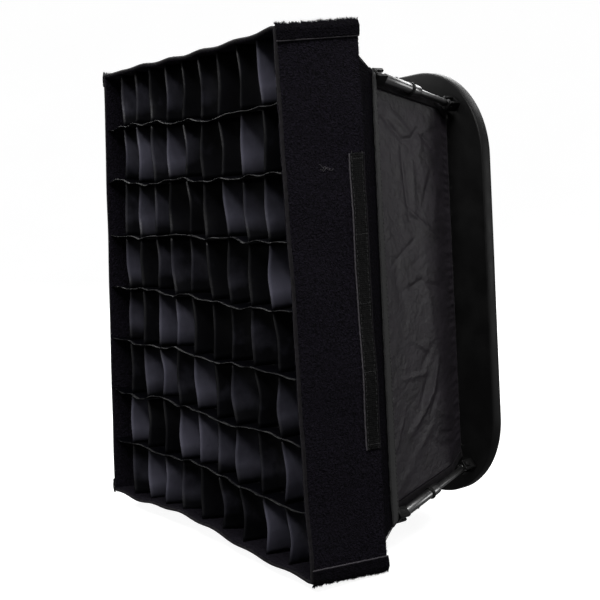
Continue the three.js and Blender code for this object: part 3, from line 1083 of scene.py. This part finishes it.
def build_hook_strip(side):
    """The hook tape along the rear edge of a side band, sewn down at both edges."""
    low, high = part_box(f"hook_tape_{side}")
    front, back = SKIRT_FRONT[2], SKIRT_REAR[2]
    u, v = np.meshgrid(
        np.linspace(low.z, high.z, 217) / SKIRT_FRONT[1],
        np.linspace((low.y - front) / (back - front), (high.y - front) / (back - front), 15),
    )
    w = np.linspace(0, 1, 15)[:, None]
    rim = 1 - np.minimum(1, 8 * np.minimum(w, 1 - w))
    hooks = 0.25 * MM * pile_heights(17, u.shape) * (1 - rim)
    points = skirt_surface(side, u, v, proud=1.0 * MM)
    normal = side_normal(side, SKIRT_FRONT, SKIRT_REAR)
    points = points + (hooks - 0.5 * MM * rim)[..., None] * normal
    uv = np.stack([u * SKIRT_FRONT[1], v * (back - front)], -1)
    tape = sheet_object(f"hook_strip_{side}", points, uv, faces_out(side))
    thicken(tape, 0.9 * MM, HOOK)
    edge = bead(f"hook_edge_{side}", points[0] + 0.35 * MM * normal, 0.55 * MM, SELVEDGE)
    rear = bead(f"hook_rear_{side}", points[-1] + 0.2 * MM * normal, 0.4 * MM, BINDING)
    rows = [stitching(f"hook_stitches_{side}_{k}", points[k], Vector(normal), THREAD) for k in (2, 12)]
    tacks = [
        stitching(f"hook_tack_{side}_{k}", points[1:-1, k], Vector(normal), THREAD, 1.6 * MM)
        for k in (4, 58, 108, 158, 212)
    ]
    made = joined(f"hook_strip_{side}", [tape, edge, rear, *rows, *tacks])
    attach(made, "grid")
    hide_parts(f"hook_tape_{side}")
    return made


def node_shifts():
    """How far each crossing of the strips is out of place across the front, in metres."""
    rng = np.random.default_rng(21)
    shifts = rng.uniform(-1, 1, (len(ROW_AT) + 2, len(COLUMN_AT) + 2, 2))
    shifts *= np.array([2.4, 2.9]) * MM
    shifts[0], shifts[-1], shifts[:, 0], shifts[:, -1] = 0, 0, 0, 0
    return shifts


NODE_SHIFTS = node_shifts()


def drift(points):
    """Moves points of the grid with the crossings around them."""
    xs = np.array([-STRIP_END["row"], *COLUMN_AT, STRIP_END["row"]])
    zs = np.array([-STRIP_END["column"], *ROW_AT, STRIP_END["column"]])
    x, z = points[..., 0], points[..., 2]
    i = np.clip(np.searchsorted(xs, x) - 1, 0, len(xs) - 2)
    j = np.clip(np.searchsorted(zs, z) - 1, 0, len(zs) - 2)
    s = np.clip((x - xs[i]) / (xs[i + 1] - xs[i]), 0, 1)[..., None]
    t = np.clip((z - zs[j]) / (zs[j + 1] - zs[j]), 0, 1)[..., None]
    low = lerp(NODE_SHIFTS[j, i], NODE_SHIFTS[j, i + 1], s)
    high = lerp(NODE_SHIFTS[j + 1, i], NODE_SHIFTS[j + 1, i + 1], s)
    shift = lerp(low, high, t)
    depth = (points[..., 1] - STRIP_FRONT) / (STRIP_BACK - STRIP_FRONT)
    moved = np.array(points)
    moved[..., 0] += shift[..., 0] * (1 - 0.6 * depth)
    moved[..., 2] += shift[..., 1] * (1 - 0.6 * depth)
    return moved


def cell_steps(crossings, end, fine):
    """Places along a strip: even steps in each cell, with one on each side of a crossing's slot."""
    bounds = [-end, *crossings, end]
    places = []
    for a, b in zip(bounds, bounds[1:]):
        start = a + (SLOT_HALF if a > -end else 0)
        stop = b - (SLOT_HALF if b < end else 0)
        places += list(np.linspace(start, stop, fine))
    return np.array(places)


def cell_bows(along, crossings, end, seed, size):
    """How far the cloth bows sideways in each cell at its front edge and at its back edge."""
    rng = random.Random(seed)
    bounds = np.array([-end, *crossings, end])
    cell = np.clip(np.searchsorted(bounds, along) - 1, 0, len(bounds) - 2)
    share = np.clip((along - bounds[cell]) / (bounds[cell + 1] - bounds[cell]), 0, 1)
    edges = []
    for _ in range(2):
        sizes = np.array([rng.uniform(0.25, 1) * rng.choice((-1, 1)) for _ in bounds[1:]]) * size
        skew = np.array([rng.uniform(-0.5, 0.5) for _ in bounds[1:]])[cell]
        bell = np.sin(np.pi * share) ** 2 * (1 + skew * np.cos(np.pi * share))
        edges.append(sizes[cell] * bell)
    return edges


def strip_points(name, kind, place, along, share):
    """Points of one strip: bowed in each cell, and moved with its crossings and the soft skirt."""
    row = kind == "row"
    crossings = COLUMN_AT if row else ROW_AT
    bow_size = (2.2 if row else 4.4) * MM
    front_bow, back_bow = cell_bows(along, crossings, STRIP_END[kind], name, bow_size)
    s, d = np.meshgrid(along, share)
    bow = lerp(front_bow[None, :], back_bow[None, :], d)
    points = np.zeros(s.shape + (3,))
    points[..., 0], points[..., 2] = (s, place) if row else (place, s)
    points[..., 1] = lerp(STRIP_FRONT + (0 if row else COLUMN_RECESS), STRIP_BACK, d)
    points = drift(points)
    points[..., 2 if row else 0] += bow
    points[..., 1] += slow_waves(name, s / STRIP_END[kind], 0 * s, 0.8 * MM) * (1 - d)
    return hang(points)


def build_strip(name, node_name, number, kind):
    """One satin strip of the grid, slotted where others cross it, with a sealed front edge."""
    row = kind == "row"
    place = ROW_AT[number] if row else COLUMN_AT[number]
    along = cell_steps(COLUMN_AT if row else ROW_AT, STRIP_END[kind], 7 if row else 12)
    share = np.linspace(0, 1, 15)
    points = strip_points(name, kind, place, along, share)
    half = len(share) // 2
    slot_columns = {j for j in range(len(along) - 1) if along[j + 1] - along[j] < 2.1 * SLOT_HALF}
    slot_rows = range(half, len(share) - 1) if row else range(half)
    skip = {(i, j) for i in slot_rows for j in slot_columns}
    beside = (number + 0.25) * STRIP_STEP
    s, d = np.meshgrid(along, share)
    uv = np.stack([s, d * (STRIP_BACK - STRIP_FRONT) + beside], -1)
    cloth = sheet_object(name, points, uv, row, skip)
    # Rows take the satin darkened as painted shade.
    thicken(cloth, STRIP_T, SATIN_ROW_PAINTED_SHADE if row else SATIN)
    edges = front_edges(name, points[0], slot_columns, row)
    made = joined(name, [cloth, *edges])
    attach(made, "grid")
    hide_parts(node_name)
    return made


def front_edges(name, line, slot_columns, row):
    """The sealed front edge of a strip: broken at each slot on a column, and whole on a row, where
    short runs of it carry a painted highlight."""
    if row:
        rng = random.Random(name)
        highlit_runs, place = [], rng.randrange(3)
        while place < len(line) - 2:
            run = line[place : place + rng.randint(2, 5)]
            # Painted highlight: a lighter run of edge.
            highlit_runs.append(bead(f"{name}_worn_{place}", run, 0.28 * MM, STRIP_EDGE_PAINTED_HIGHLIGHT, 6))
            place += len(run) + rng.randrange(4)
        return [bead(f"{name}_edge", line, 0.25 * MM, STRIP_EDGE_DARK, 6), *highlit_runs]
    cuts = [-1, *sorted(slot_columns), len(line) - 1]
    runs = [line[a + 1 : b + 1] for a, b in zip(cuts, cuts[1:])]
    return [
        bead(f"{name}_edge_{k}", run, 0.2 * MM, STRIP_EDGE_DARK, 6) for k, run in enumerate(runs)
    ]


# Struts ---------------------------------------------------------------------------------------


def build_strut(corner):
    """One corner strut: a tube hinged at the hem, a rod hinged at the plate and a lock collar."""
    front = JOINT_AT[f"tube_hinge_{corner}"]
    rear = JOINT_AT[f"rod_hinge_{corner}"]
    run = (rear - front).normalized()
    pin = run.cross(Vector((0, 1, 0))).normalized()
    build_tube(corner, front, run, pin)
    build_rod(corner, rear, -run, pin)
    build_collar(corner, front, run)


def eye(name, centre, pin, half, radius):
    """The flat, drilled end of a strut, with softened edges."""
    soft = 0.5 * MM
    profile = [(-half, 1.5 * MM), (-half, radius - soft), (-half + soft, radius),
               (half - soft, radius), (half, radius - soft), (half, 1.5 * MM)]
    return turned(name, profile, centre, pin, 36)


def build_tube(corner, front, run, pin):
    """The front tube, with its drilled end, its bore and its release knob."""
    soft = 0.3 * MM
    profile = [(2.5 * MM, 0.4 * MM), (2.5 * MM, 2.0 * MM), (3.5 * MM, 2.6 * MM),
               (4.2 * MM, TUBE_R - soft), (4.6 * MM, TUBE_R), (TUBE_END - soft, TUBE_R),
               (TUBE_END, TUBE_R - soft), (TUBE_END, TUBE_BORE), (8 * MM, TUBE_BORE),
               (8 * MM, 0.4 * MM)]
    shell = turned(f"tube_{corner}", profile, front, run, 48)
    knob_at = front + run * 20 * MM
    sx, sz = CORNERS[corner]
    out = Vector((sx * 0.25, -0.1, sz)).normalized()
    knob = turned(
        f"knob_{corner}",
        [(2.8 * MM, 1.5 * MM), (4.2 * MM, 1.5 * MM), (4.6 * MM, 1.1 * MM), (4.75 * MM, 0.4 * MM)],
        knob_at, out, 20,
    )
    shell.data.materials.append(METAL)
    knob.data.materials.append(RING)
    loop = eye(f"tube_eye_{corner}", front, pin, 2 * MM, 3.4 * MM)
    loop.data.materials.append(METAL)
    made = joined(f"tube_{corner}", [shell, loop, knob])
    soften(made)
    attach(made, f"tube_{corner}")
    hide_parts(f"strut_tube_{corner}")


def build_rod(corner, rear, run, pin):
    """The rear rod, which slides in the tube."""
    soft = 0.5 * MM
    profile = [(2.5 * MM, 0.4 * MM), (2.5 * MM, 2.0 * MM), (3.5 * MM, ROD_R), (ROD_END - soft, ROD_R),
               (ROD_END, ROD_R - soft), (ROD_END, 0.3 * MM)]
    shaft = turned(f"rod_{corner}", profile, rear, run, 36)
    shaft.data.materials.append(METAL)
    loop = eye(f"rod_eye_{corner}", rear, pin, 2 * MM, 3.4 * MM)
    loop.data.materials.append(METAL)
    made = joined(f"rod_{corner}", [shaft, loop])
    soften(made)
    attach(made, f"rod_{corner}")
    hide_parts(f"strut_rod_{corner}")


def build_collar(corner, front, run):
    """The lock collar: a dark ring and a glossier sleeve that grips the rod."""
    ring = [(37.5, 4.0), (37.5, 4.9), (37.9, 5.3), (39.3, 5.3), (39.7, 4.9), (39.7, 4.0)]
    sleeve = [(39.7, 4.0), (39.7, 4.4), (40.1, 4.5), (47.6, 4.4), (48.5, 4.2), (49, 3.9),
              (49, 3.6), (40.1, 3.6), (40.1, 4.0)]
    ring, sleeve = ([(a * MM, r * MM) for a, r in profile] for profile in (ring, sleeve))
    rim = turned(f"ring_{corner}", ring, front, run, 96, 24, (2, 3), ring=True)
    rim.data.materials.append(RING)
    body = turned(f"sleeve_{corner}", sleeve, front, run, 48, ring=True)
    body.data.materials.append(METAL)
    made = joined(f"collar_{corner}", [rim, body])
    soften(made)
    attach(made, f"collar_{corner}")
    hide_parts(f"lock_collar_{corner}")


def soften(made, angle=38):
    """Smooth shading with crisp edges where faces meet at more than the angle, in degrees."""
    made.data.polygons.foreach_set("use_smooth", [True] * len(made.data.polygons))
    made.data.set_sharp_from_angle(angle=math.radians(angle))


# Carried-over CAD nodes -----------------------------------------------------------------------


def dress_cad_node(name, material, edge):
    """Gives a CAD node its material, smooth shading and softened edges."""
    part = frame["nodes"][name]
    part.data.materials.clear()
    part.data.materials.append(material)
    part.data.polygons.foreach_set("material_index", [0] * len(part.data.polygons))
    part.data.polygons.foreach_set("use_smooth", [True] * len(part.data.polygons))
    weld = part.modifiers.new("weld", "WELD")
    weld.merge_threshold = 0.005 * MM
    if edge:
        bevel = part.modifiers.new("edges", "BEVEL")
        bevel.width = edge
        bevel.segments = 2
        bevel.limit_method = "ANGLE"
        bevel.angle_limit = math.radians(40)
        bevel.harden_normals = True
    else:
        normals = part.modifiers.new("normals", "WEIGHTED_NORMAL")
        normals.keep_sharp = True


def dress_cad_nodes():
    """Every CAD node that stays, with its material and how far its edges are rounded."""
    dress_cad_node("rear_plate", PLASTIC, 0.4 * MM)
    dress_cad_node("lamp_gasket", RUBBER, 0.4 * MM)
    for side in ("left", "right"):
        dress_cad_node(f"lamp_clip_{side}", PLASTIC, 0.5 * MM)
    for corner in CORNERS:
        dress_cad_node(f"rear_bracket_{corner}", PLASTIC, 0.35 * MM)
        dress_cad_node(f"front_corner_{corner}", PLASTIC, 0.35 * MM)
        # Painted shade: the pins take the dark ring plastic rather than the strut metal, for the
        # plate's dark corner where they sit.
        dress_cad_node(f"rear_pin_{corner}", RING, 0.25 * MM)


# Diffusion cloths -----------------------------------------------------------------------------


def build_cloth(name, node_name, body, sag, inset=0.0):
    """A white diffusion cloth with a sewn border."""
    low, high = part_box(node_name)
    u, v = np.meshgrid(np.linspace(-1, 1, 90), np.linspace(-1, 1, 110))
    points = np.zeros(u.shape + (3,))
    half_w, half_h = high.x - inset, high.z - inset
    points[..., 0] = u * half_w
    points[..., 2] = v * half_h
    edge = np.minimum((1 - np.abs(u)) * half_w, (1 - np.abs(v)) * half_h)
    rim = 1 - ease(edge / (9 * MM))
    gathers = seam_pucker(u * half_w + v * half_h * 1.3, edge, name, 1.2 * MM)
    points[..., 1] = low.y + sag * (1 - u**2) * (1 - v**2) + gathers - 0.5 * MM * rim
    uv = np.stack([points[..., 0], points[..., 2]], -1)
    made = sheet_object(name, points, uv)
    thicken(made, 0.5 * MM, DIFFUSION)
    ring = border_path(half_w - 8 * MM, half_h - 8 * MM, low.y - 0.7 * MM)
    seam = stitching(f"{name}_stitches", ring, Vector((0, -1, 0)), THREAD_WHITE, 3.4 * MM)
    made = joined(name, [made, seam])
    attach(made, body)
    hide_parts(node_name)
    return made


def border_path(half_w, half_h, y):
    """A closed rectangular path."""
    corners = [(-1, -1), (1, -1), (1, 1), (-1, 1), (-1, -1)]
    return [Vector((sx * half_w, y, sz * half_h)) for sx, sz in corners]


# Studio ---------------------------------------------------------------------------------------


def add_camera():
    """The camera's place, aimed at the middle of the body and turned a little on its own axis."""
    azimuth, elevation, roll = (math.radians(CAMERA[k]) for k in ("azimuth", "elevation", "roll"))
    back = Vector((
        math.sin(azimuth) * math.cos(elevation),
        -math.cos(azimuth) * math.cos(elevation),
        math.sin(elevation),
    ))
    right = (-back).cross(Vector((0, 0, 1))).normalized()
    up = right.cross(-back)
    x_axis = right * math.cos(roll) + up * math.sin(roll)
    y_axis = up * math.cos(roll) - right * math.sin(roll)
    target = Vector((0, SKIRT_FRONT[2] / 2, 0)) + right * CAMERA["aside"] + up * CAMERA["above"]
    data = bpy.data.cameras.new("camera")
    data.lens = CAMERA["lens"]
    data.clip_start = 0.02
    camera = bpy.data.objects.new("camera", data)
    turn = Matrix((x_axis, y_axis, back)).transposed().to_4x4()
    camera.matrix_world = Matrix.Translation(target + back * CAMERA["distance"]) @ turn
    bpy.context.scene.collection.objects.link(camera)
    bpy.context.scene.camera = camera


def area_light(name, azimuth, elevation, distance, size, power):
    """A soft box of light that faces the object. Azimuth 0 is in front, and 90 is to its right."""
    a, e = math.radians(azimuth), math.radians(elevation)
    back = Vector((math.sin(a) * math.cos(e), -math.cos(a) * math.cos(e), math.sin(e)))
    data = bpy.data.lights.new(name, "AREA")
    data.shape = "RECTANGLE"
    data.size, data.size_y = size
    data.energy = power
    light = bpy.data.objects.new(name, data)
    light.location = Vector((0, SKIRT_FRONT[2] / 2, 0)) + back * distance
    light.rotation_euler = back.to_track_quat("Z", "Y").to_euler()
    bpy.context.scene.collection.objects.link(light)


def floor_material():
    """White studio paper with a little glow of its own, so that it stays pale far from the lights."""
    made = bpy.data.materials.new("floor_paper")
    made.use_nodes = True
    tree = made.node_tree
    shader = tree.nodes["Principled BSDF"]
    where = node(tree, "TexCoord").outputs["Object"]
    tone = remap(tree, noise(tree, where, 0.4, 3.0), FLOOR_TONE - 0.02, FLOOR_TONE + 0.02)
    colour = node(tree, "CombineColor", {0: tone, 1: tone, 2: tone}).outputs[0]
    tree.links.new(colour, shader.inputs["Base Color"])
    shader.inputs["Roughness"].default_value = 0.9
    shader.inputs["Specular IOR Level"].default_value = 0.1
    shader.inputs["Emission Color"].default_value = (1, 1, 1, 1)
    shader.inputs["Emission Strength"].default_value = FLOOR_GLOW
    return made


def sweep_profile():
    """Radius and height from the middle of the floor outwards: flat, a quarter turn up, a wall."""
    flat, bend, rise, steps = 3.0, 3.0, 3.5, 12
    turns = [k / steps * math.pi / 2 for k in range(1, steps + 1)]
    curve = [(flat + bend * math.sin(t), bend * (1 - math.cos(t))) for t in turns]
    return [(0.01, 0.0), (0.8, 0.0), (flat, 0.0), *curve, (flat + bend, bend + rise)]


def add_floor():
    """A round pale floor that sweeps up into a wall all the way round, well away from the object.
    It doesn't light the object, so that its blacks stay deep, as on a photographer's white sweep."""
    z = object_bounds()[0].z
    profile, sides = sweep_profile(), 96
    verts = []
    for radius, height in profile:
        for k in range(sides):
            turn = 2 * math.pi * k / sides
            verts.append((radius * math.cos(turn), radius * math.sin(turn), z + height))
    faces = [tuple(range(sides))]
    for i in range(len(profile) - 1):
        for k in range(sides):
            a, b = i * sides + k, i * sides + (k + 1) % sides
            faces.append((a, a + sides, b + sides, b))
    floor = new_object("floor", verts, faces)
    floor.data.materials.append(floor_material())
    floor.visible_diffuse = False
    floor.visible_glossy = False


def add_studio():
    """The floor, the soft lights and a dim sky."""
    scene = bpy.context.scene
    scene.view_settings.view_transform = "Standard"
    world = bpy.data.worlds.new("studio")
    scene.world = world
    world.use_nodes = True
    background = world.node_tree.nodes["Background"]
    background.inputs["Color"].default_value = (0.98, 0.98, 1, 1)
    background.inputs["Strength"].default_value = AMBIENT
    add_floor()
    for name, light in LIGHTS.items():
        area_light(name, *light)


# Assembly -------------------------------------------------------------------------------------

add_camera()
dress_cad_nodes()
for side in SIDES:
    build_rail(side)
    build_side_panel(side)
    build_skirt(side)
for corner in CORNERS:
    build_strut(corner)
for side in ("left", "right"):
    build_hook_strip(side)
for kind, names in (("row", ROWS), ("column", COLUMNS)):
    for number, node_name in enumerate(names):
        build_strip(f"strip_{kind}_{number + 1}", node_name, number, kind)
build_cloth("diffuser_cloth", "front_diffuser", "diffuser", 1.2 * MM)
build_cloth("baffle_cloth", "inner_baffle", "baffle", 3.0 * MM, inset=3.5 * MM)
add_studio()
